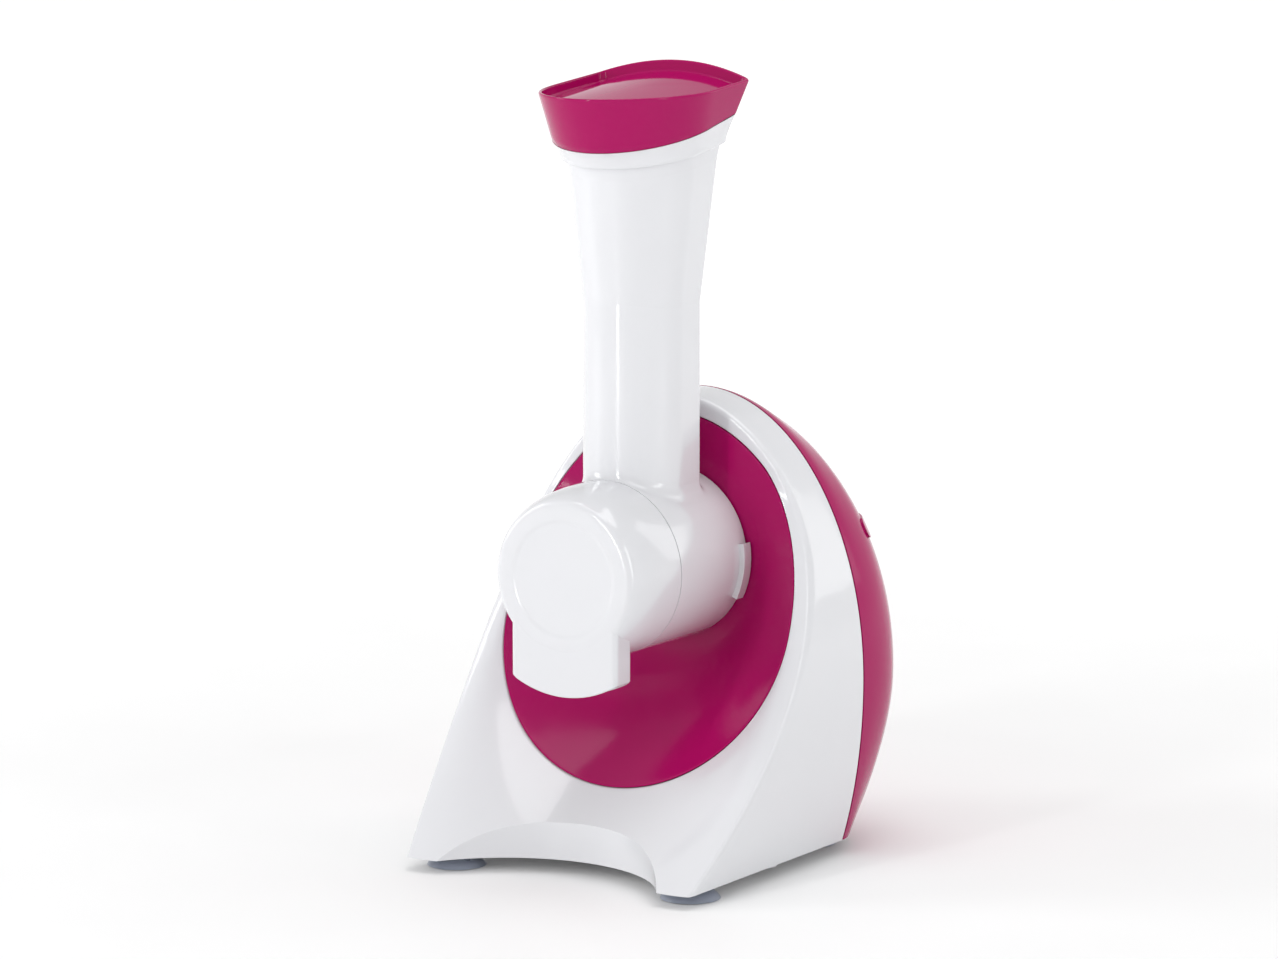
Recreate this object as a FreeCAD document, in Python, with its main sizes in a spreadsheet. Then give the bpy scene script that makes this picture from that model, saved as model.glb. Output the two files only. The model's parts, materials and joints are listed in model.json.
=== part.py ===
"""Frozen-fruit ice cream maker: a tall egg-shaped housing with a horizontal chamber on its front,
a vertical feed chute with a pusher, and a motor that drives the chamber's rotor through two gear pairs.

Millimetres. +Z is up and z = 0 is the table. x = 0 is the plane of symmetry and the front faces -Y.
The origin is the middle of the object's footprint.
"""
import FreeCAD, Part
import math
import os
import re

import Sketcher
from FreeCAD import Placement, Rotation, Vector

DIMENSIONS = {
    # housing: an egg outline in the XZ plane, carried along Y
    "egg_half_width": 88.6,
    "egg_centre_height": 83.0,
    "egg_upper_rise": 134.0,
    "egg_lower_drop": 160.0,
    "housing_bottom": 6.0,
    "wall": 2.5,
    "gap": 0.3,
    "seam_station": 36.0,
    "rear_depth": 71.0,
    "rear_roundness": 2.8,
    "rear_tuck": 110.0,
    "rear_crown_tuck": 24.0,
    # front face: how far it sweeps forward below the hub, at the ridge and at the panel's edge
    "hub_station": 8.6,
    "ridge_reach": 118.0,
    "ridge_top": 190.0,
    "ridge_power": 1.85,
    "panel_reach": 77.0,
    "panel_sweep_top": 185.0,
    "panel_power": 1.25,
    "panel_half_width": 77.5,
    "panel_centre_height": 110.0,
    "panel_upper_rise": 98.0,
    "panel_lower_drop": 72.0,
    "panel_flange": 8.0,
    "hub_radius": 47.0,
    "hub_hole_radius": 20.0,
    # bowl bay between the front feet
    "bay_radius": 70.0,
    "bay_station": -139.0,
    # suction feet
    "foot_radius": 14.0,
    "foot_front_offset": 64.0,
    "foot_front_station": -80.0,
    "foot_rear_offset": 52.0,
    "foot_rear_station": 46.0,
    "foot_stem_radius": 4.0,
    "foot_neck_radius": 3.4,
    # base plate
    "base_thickness": 2.5,
    # housing screws
    "screw_radius": 1.8,
    "screw_head_radius": 3.4,
    "screw_length": 16.0,
    "post_radius": 5.0,
    "post_front_offset": 71.5,
    "post_front_station": -22.0,
    "post_rear_offset": 65.0,
    "post_rear_station": 56.0,
    # chamber: the barrel lies along Y, on the drive axis
    "axis_height": 142.0,
    "barrel_radius": 41.0,
    "barrel_wall": 3.0,
    "barrel_rear": 7.6,
    "barrel_front": -50.0,
    "back_wall_station": -6.0,
    "back_wall": 3.0,
    "lug_height": 2.6,
    "lug_width": 6.0,
    "lug_angle": 36.0,
    # chute: a D-shaped section that flares at the top
    "chute_centre": -23.0,
    "chute_half_width": 25.0,
    "chute_rear": 16.6,
    "chute_front": 25.5,
    "chute_wall": 2.4,
    "flare_start": 265.0,
    "flare_rise": 75.0,
    "flare_out": 9.6,
    "flare_power": 1.6,
    "rim_height": 331.0,
    "rim_slope": 0.17,
    "rim_front": -57.0,
    # front cap and spout
    "cap_front": -87.5,
    "cap_front_radius": 34.5,
    "cap_wall": 2.5,
    "cap_dish_radius": 27.0,
    "cap_dish_depth": 1.2,
    "spout_half_width": 28.5,
    "spout_depth": 14.5,
    "spout_reach": 55.0,
    "spout_wall": 2.2,
    # pusher
    "plunger_clearance": 0.7,
    "plunger_bottom": 185.0,
    "plunger_wall": 2.0,
    "collar_half_width": 35.4,
    "collar_rear": 19.6,
    "collar_front": 35.4,
    "collar_top_height": 337.0,
    "collar_top_slope": 0.226,
    "collar_top_half_width": 38.5,
    "collar_top_rear": 26.0,
    "collar_top_front": 42.0,
    "crown_half_width": 43.6,
    "crown_rear": 38.0,
    "crown_front": 57.0,
    "crown_height": 364.0,
    "crown_slope": 0.098,
    "crown_start": -79.0,
    "crown_arch_radius": 120.0,
    "crown_rim": 1.8,
    "crown_recess": 5.0,
    "crown_wall": 2.2,
    # gear train
    "motor_height": 85.0,
    "motor_module": 1.0,
    "motor_pinion_teeth": 12,
    "wheel_teeth": 48,
    "drive_module": 1.25,
    "drive_pinion_teeth": 14,
    "drive_wheel_teeth": 44,
    "drive_gear_start": 19.0,
    "drive_gear_width": 8.0,
    "wheel_start": 28.0,
    "wheel_width": 6.0,
    "shaft_radius": 5.0,
    "shaft_rear": 41.0,
    "shaft_front": -26.0,
    "pin_radius": 3.0,
    "running_fit": 0.05,
    # gearbox
    "gearbox_front": 14.0,
    "gearbox_rear": 36.0,
    "gearbox_plate": 3.0,
    "gearbox_half_width": 46.0,
    "gearbox_low": 66.0,
    "gearbox_high": 174.0,
    # motor
    "motor_shaft_radius": 4.0,
    "motor_shaft_front": 26.0,
    "motor_shaft_rear": 99.0,
    "stator_half": 30.0,
    "stator_front": 56.0,
    "stator_length": 24.0,
    "stator_bore": 19.0,
    "core_radius": 18.4,
    "coil_radius": 15.5,
    "commutator_radius": 9.0,
    "commutator_front": 87.2,
    "commutator_length": 6.3,
    "fan_radius": 24.0,
    "fan_front": 45.0,
    "fan_width": 5.0,
    "bearing_radius": 8.0,
    # cord gland in the rear wall
    "gland_height": 30.0,
    "gland_bore": 3.8,
    "gland_radius": 6.0,
    "gland_inner": 82.0,
    "gland_outer": 106.5,
    # push switch on the rear housing, facing right and back
    "switch_height": 150.0,
    "switch_station": 80.0,
    "switch_offset": 65.0,
    "switch_facing": 30.0,
    "switch_half_length": 16.0,
    "switch_half_height": 4.6,
    "switch_proud": 0.8,
}

SECTION_POINTS = 48      # points that carry each closed outline
HEAD_CORNER = 7.0        # exponent of the pusher head's rear corners: larger is squarer
HALF_POINTS = 30         # spans of each half outline
DISH_STEPS = (0.0, 0.12, 0.3, 0.5, 0.7, 0.88, 1.0)
REAR_RINGS = (-0.3, -0.15, 0.0, 0.18, 0.36, 0.52, 0.66, 0.78, 0.87, 0.93, 0.97, 0.992)
FAR = 400.0              # longer than anything in the object

doc = FreeCAD.newDocument("ice_cream_maker")
sheet = doc.addObject("Spreadsheet::Sheet", "sizes")
for row, (alias, value) in enumerate(DIMENSIONS.items(), start=1):
    sheet.set(f"A{row}", alias)
    sheet.set(f"B{row}", str(value))
    sheet.setAlias(f"B{row}", alias)
doc.recompute()

nodes = []


def size(alias):
    """A driving dimension, as a number."""
    return float(getattr(sheet, alias))


def bound(text):
    """An expression in which each alias is read from the sheet."""
    return re.sub(r"([a-z][a-z_]*)", r"sizes.\1", text)


def place(obj, at, turn=None):
    """Bind an object's position to the sheet, and turn it."""
    obj.Placement = Placement(Vector(0, 0, 0), turn or Rotation())
    for axis, text in zip("xyz", at):
        if text != "0":
            obj.setExpression(f"Placement.Base.{axis}", bound(text))


TO_Y = Rotation(Vector(1, 0, 0), -90)      # turns a Z axis onto +Y
TO_X = Rotation(Vector(0, 1, 0), 90)       # turns a Z axis onto +X


def cylinder(name, radius, length, at, turn=None):
    obj = doc.addObject("Part::Cylinder", name)
    obj.setExpression("Radius", bound(radius))
    obj.setExpression("Height", bound(length))
    place(obj, at, turn)
    return obj


def box(name, length, width, height, at):
    obj = doc.addObject("Part::Box", name)
    obj.setExpression("Length", bound(length))
    obj.setExpression("Width", bound(width))
    obj.setExpression("Height", bound(height))
    place(obj, at)
    return obj


def cut(name, base, tool):
    obj = doc.addObject("Part::Cut", name)
    obj.Base = base
    obj.Tool = tool
    return obj


def fuse(name, shapes):
    obj = doc.addObject("Part::MultiFuse", name)
    obj.Shapes = shapes
    return obj


def common(name, shapes):
    obj = doc.addObject("Part::MultiCommon", name)
    obj.Shapes = shapes
    return obj


def node(label, obj):
    """Mark an object as one sub-part of the machine."""
    obj.Label = label
    nodes.append(obj)
    return obj


def feature(label, shape):
    """A sub-part whose shape is worked out by formula."""
    obj = doc.addObject("Part::Feature", label)
    obj.Shape = shape
    obj.Placement = shape.Placement
    return node(label, obj)


def tube(label, outer, inner, length, at, turn=None):
    """A ring or bush: one cylinder less another on its axis."""
    solid = cylinder(label + "_outside", outer, length, at, turn)
    hole = cylinder(label + "_inside", inner, length, at, turn)
    return node(label, cut(label + "_ring", solid, hole))


def origin_plane(body, role):
    return next(item for item in body.Origin.OriginFeatures if item.Role == role)


def outline_sketch(body, name, role, corners):
    """A closed outline of straight edges, each corner held by expressions on its two distances."""
    sketch = body.newObject("Sketcher::SketchObject", name)
    sketch.AttachmentSupport = [(origin_plane(body, role), "")]
    sketch.MapMode = "FlatFace"
    values = [tuple(cell_value(text) for text in corner) for corner in corners]
    count = len(values)
    for index in range(count):
        start = Vector(*values[index], 0)
        end = Vector(*values[(index + 1) % count], 0)
        sketch.addGeometry(Part.LineSegment(start, end), False)
    for index in range(count):
        sketch.addConstraint(Sketcher.Constraint("Coincident", index, 2, (index + 1) % count, 1))
    for index, corner in enumerate(corners):
        for kind, axis, text, number in (("DistanceX", -2, corner[0], values[index][0]),
                                         ("DistanceY", -1, corner[1], values[index][1])):
            if abs(number) < 1e-9:
                sketch.addConstraint(Sketcher.Constraint("PointOnObject", index, 1, axis))
                continue
            which = sketch.addConstraint(Sketcher.Constraint(kind, -1, 1, index, 1, number))
            sketch.setExpression(f"Constraints[{which}]", bound(text))
    return sketch


def cell_value(text):
    """The number that an expression of aliases stands for, by way of a scratch cell."""
    sheet.set("D1", "=" + text)
    sheet.recompute()
    return float(sheet.get("D1"))


def revolved(label, role, corners, at):
    """A body turned about its sketch's upright axis from (radius, station) corners."""
    body = doc.addObject("PartDesign::Body", label)
    sketch = outline_sketch(body, label + "_profile", role, corners)
    turned = body.newObject("PartDesign::Revolution", label + "_turned")
    turned.Profile = sketch
    turned.ReferenceAxis = (sketch, ["V_Axis"])
    turned.Angle = 360
    sketch.Visibility = False
    place(body, at)
    return node(label, body)


def closed_wire(points):
    """A smooth closed wire through the points."""
    curve = Part.BSplineCurve()
    curve.interpolate(Points=points, PeriodicFlag=True)
    return Part.Wire([curve.toShape()])


def around(count=SECTION_POINTS):
    """Evenly spaced angles of one turn."""
    return [2 * math.pi * step / count for step in range(count)]


def sweep(reach, power, top, height):
    """The front face's station at a height: it comes forward below its top."""
    below = max(0.0, 1.0 - height / size(top))
    return size("hub_station") - size(reach) * below ** size(power)


def egg_point(angle, inset=0.0, scale=1.0, tuck=0.0, crown_tuck=0.0):
    """A point (x, z) of the housing's egg outline, tucked in below and above by the given amounts."""
    if math.sin(angle) >= 0:
        vertical = size("egg_upper_rise") - crown_tuck
    else:
        vertical = size("egg_lower_drop") - tuck
    across = (size("egg_half_width") * scale - inset) * math.cos(angle)
    return across, size("egg_centre_height") + (vertical * scale - inset) * math.sin(angle)


def open_wire(points):
    """A smooth open wire through the points."""
    curve = Part.BSplineCurve()
    curve.interpolate(Points=points)
    return Part.Wire([curve.toShape()])


def right_side():
    """Angles of the right half outline, run a little past the plane of symmetry at both ends."""
    reach = math.radians(110)
    return [reach * (2 * step / HALF_POINTS - 1) for step in range(HALF_POINTS + 1)]


def ridge_wire(inset=0.0):
    """The right half of the ridge where the side wall meets the front face."""
    points = []
    for angle in right_side():
        across, height = egg_point(angle, inset)
        station = sweep("ridge_reach", "ridge_power", "ridge_top", height) + inset
        points.append(Vector(across, station, height))
    return open_wire(points)


def panel_point(angle, inset=0.0):
    """A point (x, z) of the oval opening in the front face."""
    vertical = size("panel_upper_rise") if math.sin(angle) >= 0 else size("panel_lower_drop")
    across = (size("panel_half_width") - inset) * math.cos(angle)
    return across, size("panel_centre_height") + (vertical - inset) * math.sin(angle)


def panel_wire(inset=0.0, back=0.0):
    """The right half of the oval opening's edge, set in from it and moved back."""
    points = []
    for angle in right_side():
        across, height = panel_point(angle, inset)
        station = sweep("panel_reach", "panel_power", "panel_sweep_top", height) + back
        points.append(Vector(across, station, height))
    return open_wire(points)


def face_block(outer, inner):
    """The solid behind the ruled face between two edges."""
    face = Part.makeLoft([outer, inner], False, True).Faces[0]
    return face.extrude(Vector(0, FAR, 0))


def slab(low, high):
    """A wide box between two corners."""
    return Part.makeBox(high[0] - low[0], high[1] - low[1], high[2] - low[2], Vector(*low))


def upright(radius, x, y, low, high):
    """A cylinder that stands along Z."""
    return Part.makeCylinder(radius, high - low, Vector(x, y, low))


def along(radius, x, z, front, rear):
    """A cylinder that lies along Y."""
    return Part.makeCylinder(radius, rear - front, Vector(x, front, z), Vector(0, 1, 0))


def bay(grow):
    """The round bay between the front feet, where the bowl stands."""
    return upright(size("bay_radius") + grow, 0, size("bay_station"), -10, FAR)


def front_block(inset, opening=0.0):
    """The right half of the front shell's outer solid, or of the hollow when set in by the wall."""
    block = face_block(ridge_wire(inset), panel_wire(-opening, inset))
    slack = 1.0 if inset else 0.0
    low = (-slack, -FAR, size("housing_bottom") - slack)
    keep = slab(low, (FAR, size("seam_station") + inset, FAR))
    return block.common(keep).cut(bay(inset))


def both_sides(half):
    """A half shape joined to its mirror image across x = 0."""
    return half.fuse(half.mirror(Vector(0, 0, 0), Vector(1, 0, 0))).removeSplitter()


def rear_ring(depth, inset):
    """One ring of the rear dome: depth runs from 0 at the seam to 1 at the back."""
    behind = max(0.0, depth)
    roundness = size("rear_roundness")
    scale = (1.0 - behind ** roundness) ** (1.0 / roundness)
    station = size("seam_station") + (size("rear_depth") - inset) * depth
    ring = []
    for angle in around():
        across, height = egg_point(angle, inset, scale, size("rear_tuck") * behind,
                                   size("rear_crown_tuck") * behind)
        ring.append(Vector(across, station, height))
    return closed_wire(ring)


def rear_block(inset, start=0.0):
    """The rear dome as a solid, from the seam back."""
    dome = Part.makeLoft([rear_ring(depth, inset) for depth in REAR_RINGS], True, False)
    low = size("housing_bottom") - (1.0 if inset else 0.0)
    return dome.common(slab((-FAR, size("seam_station") + start, low), (FAR, FAR, FAR)))


def screw_posts(kind, low, high, radius):
    """The two posts, left and right, that the base plate's screws run into."""
    return [upright(radius, side * size(f"post_{kind}_offset"), size(f"post_{kind}_station"), low, high)
            for side in (-1, 1)]


def make_front_housing():
    """White front shell: side walls, front face with its oval opening, and the bay's wall."""
    wall = size("wall")
    shell = front_block(0.0).cut(front_block(wall, wall))
    behind = face_block(panel_wire(-wall - 0.2, size("panel_flange")), panel_wire(1.0, size("panel_flange")))
    shell = shell.cut(behind)
    floor = size("housing_bottom") + size("base_thickness") + size("gap")
    post = screw_posts("front", floor, floor + 22, size("post_radius"))[1]
    shell = shell.fuse(post.common(front_block(0.5 * wall)))
    shell = shell.cut(screw_posts("front", floor - 1, floor + 18, size("screw_radius") - 0.15)[1])
    return both_sides(shell)


def make_rear_housing():
    """Magenta rear shell, open at the seam and at the bottom."""
    wall = size("wall")
    gap = size("gap")
    shell = rear_block(0.0, gap).cut(rear_block(wall, -1.0))
    floor = size("housing_bottom") + size("base_thickness") + gap
    inside = rear_block(0.5 * wall, gap)
    for post in screw_posts("rear", floor, floor + 22, size("post_radius")):
        shell = shell.fuse(post.common(inside))
    for bore in screw_posts("rear", size("housing_bottom") - 1, floor + 18, size("screw_radius") - 0.1):
        shell = shell.cut(bore)
    shell = shell.cut(along(size("gland_radius") + 0.02, 0, size("gland_height"), 60, 130))
    return shell.cut(switch_outline(size("gap"), 30))


def switch_outline(grow, depth):
    """A round-ended prism along the switch's facing, as deep on both sides of the shell's surface."""
    radius = size("switch_half_height") + grow
    long_half = size("switch_half_length") - size("switch_half_height")
    outline = Part.makeBox(depth, 2 * long_half, 2 * radius, Vector(-depth / 2, -long_half, -radius))
    for end in (-1, 1):
        outline = outline.fuse(Part.makeCylinder(radius, depth, Vector(-depth / 2, end * long_half, 0),
                                                 Vector(1, 0, 0)))
    outline.Placement = switch_frame()
    return outline


def switch_frame():
    """The switch's place on the shell, with its local X pointing out."""
    middle = Vector(size("switch_offset"), size("switch_station"), size("switch_height"))
    return Placement(middle, Rotation(Vector(0, 0, 1), size("switch_facing")))


def make_base_plate():
    """Bottom plate inside both shells, with holes for the screws and the feet's necks."""
    reach = size("wall") + size("gap")
    low = size("housing_bottom")
    high = low + size("base_thickness")
    front = both_sides(front_block(reach).common(slab((0, -FAR, low), (FAR, size("seam_station"), high))))
    plate = front.fuse(rear_block(reach, -1.0).common(slab((-FAR, -FAR, low), (FAR, FAR, high))))
    for kind in ("front", "rear"):
        for hole in screw_posts(kind, low - 1, low + 9, size("screw_radius") + 0.25):
            plate = plate.cut(hole)
    for x, y in foot_places():
        plate = plate.cut(upright(size("foot_neck_radius"), x, y, low - 1, low + 9))
    return plate.removeSplitter()


def foot_places():
    return [(side * size(f"foot_{kind}_offset"), size(f"foot_{kind}_station"))
            for kind in ("front", "rear") for side in (-1, 1)]


def make_front_panel():
    """Magenta dish that runs from the oval opening back to a flat ring round the hub."""
    hub_z = size("axis_height")
    hub_y = size("hub_station")
    wires = []
    for step in DISH_STEPS:
        points = []
        for angle in right_side():
            across, height = panel_point(angle, size("gap"))
            edge = sweep("panel_reach", "panel_power", "panel_sweep_top", height)
            hub_x = size("hub_radius") * math.cos(angle)
            hub_height = hub_z + size("hub_radius") * math.sin(angle)
            back = 1.0 - (1.0 - step) ** 1.7
            points.append(Vector(across + (hub_x - across) * step, edge + (hub_y - edge) * back,
                                 height + (hub_height - height) * step))
        wires.append(open_wire(points))
    wall = Vector(0, size("wall"), 0)
    dish = Part.makeLoft(wires, False, False).Faces[0].extrude(wall)
    inner_edge = wires[-1].Edges[0]
    chord = Part.makeLine(inner_edge.lastVertex().Point, inner_edge.firstVertex().Point)
    ring = Part.Face(Part.Wire([inner_edge, chord])).extrude(wall)
    right = slab((0, -FAR, 0), (FAR, FAR, FAR))
    hole = along(size("hub_hole_radius"), 0, hub_z, hub_y - 5, hub_y + 9)
    return both_sides(dish.fuse(ring).common(right).cut(hole))


# ---------------------------------------------------------------- D-shaped sections of chute and pusher

def d_point(angle, half_width, rear, front, corner=4.5):
    """A point (x, y) of a D: half an ellipse in front, a rounded box behind."""
    cosine = math.cos(angle)
    sine = math.sin(angle)
    power = 2.0 / corner if sine > 0 else 1.0
    reach = rear if sine > 0 else front
    across = math.copysign(abs(cosine) ** power, cosine) * half_width
    return across, size("chute_centre") + math.copysign(abs(sine) ** power, sine) * reach


def d_wire(half_width, rear, front, height, corner=4.5):
    """A D outline whose height may depend on its station."""
    points = []
    for angle in around():
        across, station = d_point(angle, half_width, rear, front, corner)
        level = height(station) if callable(height) else height
        points.append(Vector(across, station, level))
    return closed_wire(points)


def rim_level(station):
    return size("rim_height") + size("rim_slope") * (station - size("rim_front"))


def seat_level(station):
    """The underside of the pusher's collar, one gap above the rim."""
    return rim_level(station) + size("gap")


def collar_level(station):
    return size("collar_top_height") + size("collar_top_slope") * (station - size("rim_front"))


def chute_solid(inset, low):
    """The chute's outer solid, or its bore when set in by the wall."""
    wires = []
    start = size("flare_start")
    step = 12.0
    count = math.ceil((start + 96 - low) / step)
    for level in [low + step * index for index in range(count + 1)]:
        flare = size("flare_out") * (max(0.0, level - start) / size("flare_rise")) ** size("flare_power")
        wires.append(d_wire(size("chute_half_width") + flare - inset, size("chute_rear") + 0.3 * flare - inset,
                            size("chute_front") + flare - inset, level))
    return Part.makeLoft(wires, True, False)


def above(level, lift=0.0):
    """A large block above a tilted plane."""
    front, rear = -FAR, FAR
    corners = [Vector(-FAR, front, level(front) + lift), Vector(-FAR, rear, level(rear) + lift),
               Vector(-FAR, rear, 2 * FAR), Vector(-FAR, front, 2 * FAR)]
    return Part.Face(Part.makePolygon(corners + corners[:1])).extrude(Vector(2 * FAR, 0, 0))


def make_feed_chamber():
    """White barrel with the chute on top, a back wall round the shaft and two bayonet lugs."""
    axis = size("axis_height")
    bore = size("barrel_radius") - size("barrel_wall")
    rear = size("barrel_rear")
    front = size("barrel_front")
    wall_start = size("back_wall_station")
    outer = along(size("barrel_radius"), 0, axis, front, rear)
    chute = chute_solid(0.0, axis + 5)
    body = outer.fuse(chute).cut(above(rim_level))
    body = body.cut(chute_solid(size("chute_wall"), axis - 10))
    body = body.cut(along(bore, 0, axis, front - 1, wall_start - size("back_wall")))
    body = body.cut(along(bore, 0, axis, wall_start, rear + 1))
    body = body.cut(along(size("shaft_radius") + size("running_fit"), 0, axis, -30, 30))
    half_turn = size("lug_angle")
    for start in (-8 - half_turn / 2, 172 - half_turn / 2):
        lug = Part.makeCylinder(size("barrel_radius") + size("lug_height"), size("lug_width"),
                                Vector(0, 0, 0), Vector(0, 0, 1), half_turn)
        lug = lug.cut(Part.makeCylinder(size("barrel_radius") - 1, size("lug_width")))
        lug.Placement = Placement(Vector(0, rear, axis), Rotation(Vector(1, 0, 0), 90)
                                  * Rotation(Vector(0, 0, 1), start))
        body = body.fuse(lug)
    return body.removeSplitter()


def make_pusher_body():
    """White plunger that fills the chute, under a collar that sits on the chute's rim."""
    inset = size("chute_wall") + size("plunger_clearance")
    collar = Part.makeLoft([
        d_wire(size("collar_half_width"), size("collar_rear"), size("collar_front"), seat_level),
        d_wire(size("collar_top_half_width"), size("collar_top_rear"), size("collar_top_front"), collar_level),
    ], True, True)
    collar = collar.cut(above(rim_level, 3.0).common(chute_straight(size("plunger_clearance") + 1.0, 300, 400)))
    plunger = chute_straight(inset, size("plunger_bottom"), 352).cut(above(collar_level))
    body = collar.fuse(plunger)
    hollow = chute_straight(inset + size("plunger_wall"), size("plunger_bottom") + size("plunger_wall"), FAR)
    return body.cut(hollow).removeSplitter()


def chute_straight(inset, low, high):
    """A straight D prism inside the chute."""
    sizes = (size("chute_half_width") - inset, size("chute_rear") - inset, size("chute_front") - inset)
    return Part.makeLoft([d_wire(*sizes, low), d_wire(*sizes, high)], True, True)


def crown_arch(lower):
    """A long cylinder whose upper side is the pusher's arched top."""
    radius = size("crown_arch_radius")
    slope = math.atan(size("crown_slope"))
    direction = Vector(0, math.cos(slope), math.sin(slope))
    top = Vector(0, size("crown_start"), size("crown_height") - lower)
    centre = top + Vector(0, math.sin(slope), -math.cos(slope)) * radius
    return Part.makeCylinder(radius, FAR, centre - direction * (FAR / 2), direction)


def crown_level(station):
    """The height of the plane that closes the head above its arch."""
    return size("crown_height") + 3.0 + size("crown_slope") * (station - size("crown_start"))


def crown_solid(inset):
    """The flared head between the collar's top and a plane above the arch."""
    low = d_wire(size("collar_top_half_width") - inset, size("collar_top_rear") - inset,
                 size("collar_top_front") - inset, collar_level, HEAD_CORNER)
    high = d_wire(size("crown_half_width") - inset, size("crown_rear") - inset,
                  size("crown_front") - inset, crown_level, HEAD_CORNER)
    return Part.makeLoft([low, high], True, True)


def make_pusher_cap():
    """Magenta head: flared side wall, arched rim and a recessed top face."""
    head = crown_solid(0.0).common(crown_arch(0.0))
    core = crown_solid(size("crown_rim"))
    recess = core.cut(crown_arch(size("crown_recess")))
    hollow = core.common(crown_arch(size("crown_recess") + size("crown_wall")))
    return head.cut(recess).cut(hollow)


# ---------------------------------------------------------------- gears

def gear(teeth, module, width, bore):
    """A spur gear about Z with straight-flanked teeth, one tooth centred on +X."""
    pitch = module * teeth / 2
    step = 2 * math.pi / teeth
    profile = ((pitch - 1.15 * module, 0.31), (pitch, 0.215), (pitch + 0.85 * module, 0.11))
    points = []
    for tooth in range(teeth):
        centre = tooth * step
        for radius, share in profile:
            points.append(Vector(radius * math.cos(centre - share * step), radius * math.sin(centre - share * step)))
        for radius, share in reversed(profile):
            points.append(Vector(radius * math.cos(centre + share * step), radius * math.sin(centre + share * step)))
    face = Part.Face(Part.makePolygon(points + points[:1]))
    solid = face.extrude(Vector(0, 0, width))
    return solid.cut(Part.makeCylinder(bore, width)) if bore else solid


def set_gear(shape, x, z, front, degrees):
    """Lay a gear along Y with its front face at a station, turned so that tooth angles match +X to +Z."""
    shape.Placement = Placement(Vector(x, front, z), Rotation(Vector(0, -1, 0), degrees) * TO_Y)
    return shape


def train_angle(x_from, z_from, x_to, z_to):
    """The direction from one axis to another, in degrees from +X towards +Z."""
    return math.degrees(math.atan2(z_to - z_from, x_to - x_from))


def gear_places():
    """The intermediate axis, (x, z), at both gear pairs' centre distances."""
    low = size("motor_module") * (size("motor_pinion_teeth") + size("wheel_teeth")) / 2
    high = size("drive_module") * (size("drive_pinion_teeth") + size("drive_wheel_teeth")) / 2
    span = size("axis_height") - size("motor_height")
    rise = (low ** 2 - high ** 2 + span ** 2) / (2 * span)
    return math.sqrt(low ** 2 - rise ** 2), size("motor_height") + rise


def make_gears():
    """The two gear pairs between the motor and the drive shaft, in mesh."""
    fit = size("running_fit")
    mid_x, mid_z = gear_places()
    motor_teeth = int(size("motor_pinion_teeth"))
    wheel_teeth = int(size("wheel_teeth"))
    pinion_teeth = int(size("drive_pinion_teeth"))
    drive_teeth = int(size("drive_wheel_teeth"))
    to_motor = train_angle(mid_x, mid_z, 0, size("motor_height"))
    to_drive = train_angle(mid_x, mid_z, 0, size("axis_height"))
    wheel = gear(wheel_teeth, size("motor_module"), size("wheel_width"), 0)
    set_gear(wheel, mid_x, mid_z, size("wheel_start"), to_motor)
    small = gear(pinion_teeth, size("drive_module"), size("wheel_start") - size("drive_gear_start"), 0)
    set_gear(small, mid_x, mid_z, size("drive_gear_start"), to_drive)
    bore = along(size("pin_radius") + fit, mid_x, mid_z, 10, 50)
    feature("intermediate_gear", wheel.fuse(small).cut(bore).removeSplitter())
    half_space = 180.0 / motor_teeth
    pinion = gear(motor_teeth, size("motor_module"), size("wheel_width") + 1, size("motor_shaft_radius"))
    feature("motor_pinion", set_gear(pinion, 0, size("motor_height"), size("wheel_start") - 0.5,
                                     to_motor + 180 + half_space))
    half_space = 180.0 / drive_teeth
    output = gear(drive_teeth, size("drive_module"), size("drive_gear_width"), size("shaft_radius"))
    feature("output_gear", set_gear(output, 0, size("axis_height"), size("drive_gear_start") + 0.5,
                                    to_drive + 180 + half_space))


def make_rotor():
    """The cone in the barrel, widest at the front, with four steel blades let into it."""
    axis = size("axis_height")
    front = size("barrel_front") + 1.0
    rear = size("back_wall_station") - size("back_wall") - 1.5
    cone = Part.makeCone(33.0, 15.0, rear - front, Vector(0, front, axis), Vector(0, 1, 0))
    hollow = Part.makeCone(29.5, 21.0, 16.0, Vector(0, front - 0.01, axis), Vector(0, 1, 0))
    boss = along(12.0, 0, axis, front + 4, front + 20)
    cone = cone.cut(hollow).fuse(boss)
    cone = cone.cut(along(size("shaft_radius"), 0, axis, size("shaft_front"), 10))
    blades = []
    for quarter in range(4):
        corners = [Vector(27.5, front + 3, 0), Vector(35.8, front + 3, 0), Vector(35.2, front + 8, 0)]
        teeth = 6
        for tooth in range(teeth):
            start = front + 8 + tooth * (rear - front - 12) / teeth
            reach = 35.2 - (start - front - 8) * 0.50
            corners += [Vector(reach - 1.6, start + 2.4, 0), Vector(reach - 0.6, start + 4.0, 0)]
        corners += [Vector(11.5, rear - 3.5, 0)]
        blade = Part.Face(Part.makePolygon(corners + corners[:1])).extrude(Vector(0, 0, 1.0))
        blade.Placement = Placement(Vector(0, 0, axis), Rotation(Vector(0, 1, 0), 90 * quarter + 20))
        blades.append(blade)
    group = Part.makeCompound(blades)
    feature("rotor_cone", cone.cut(group))
    feature("rotor_blades", group)


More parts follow.
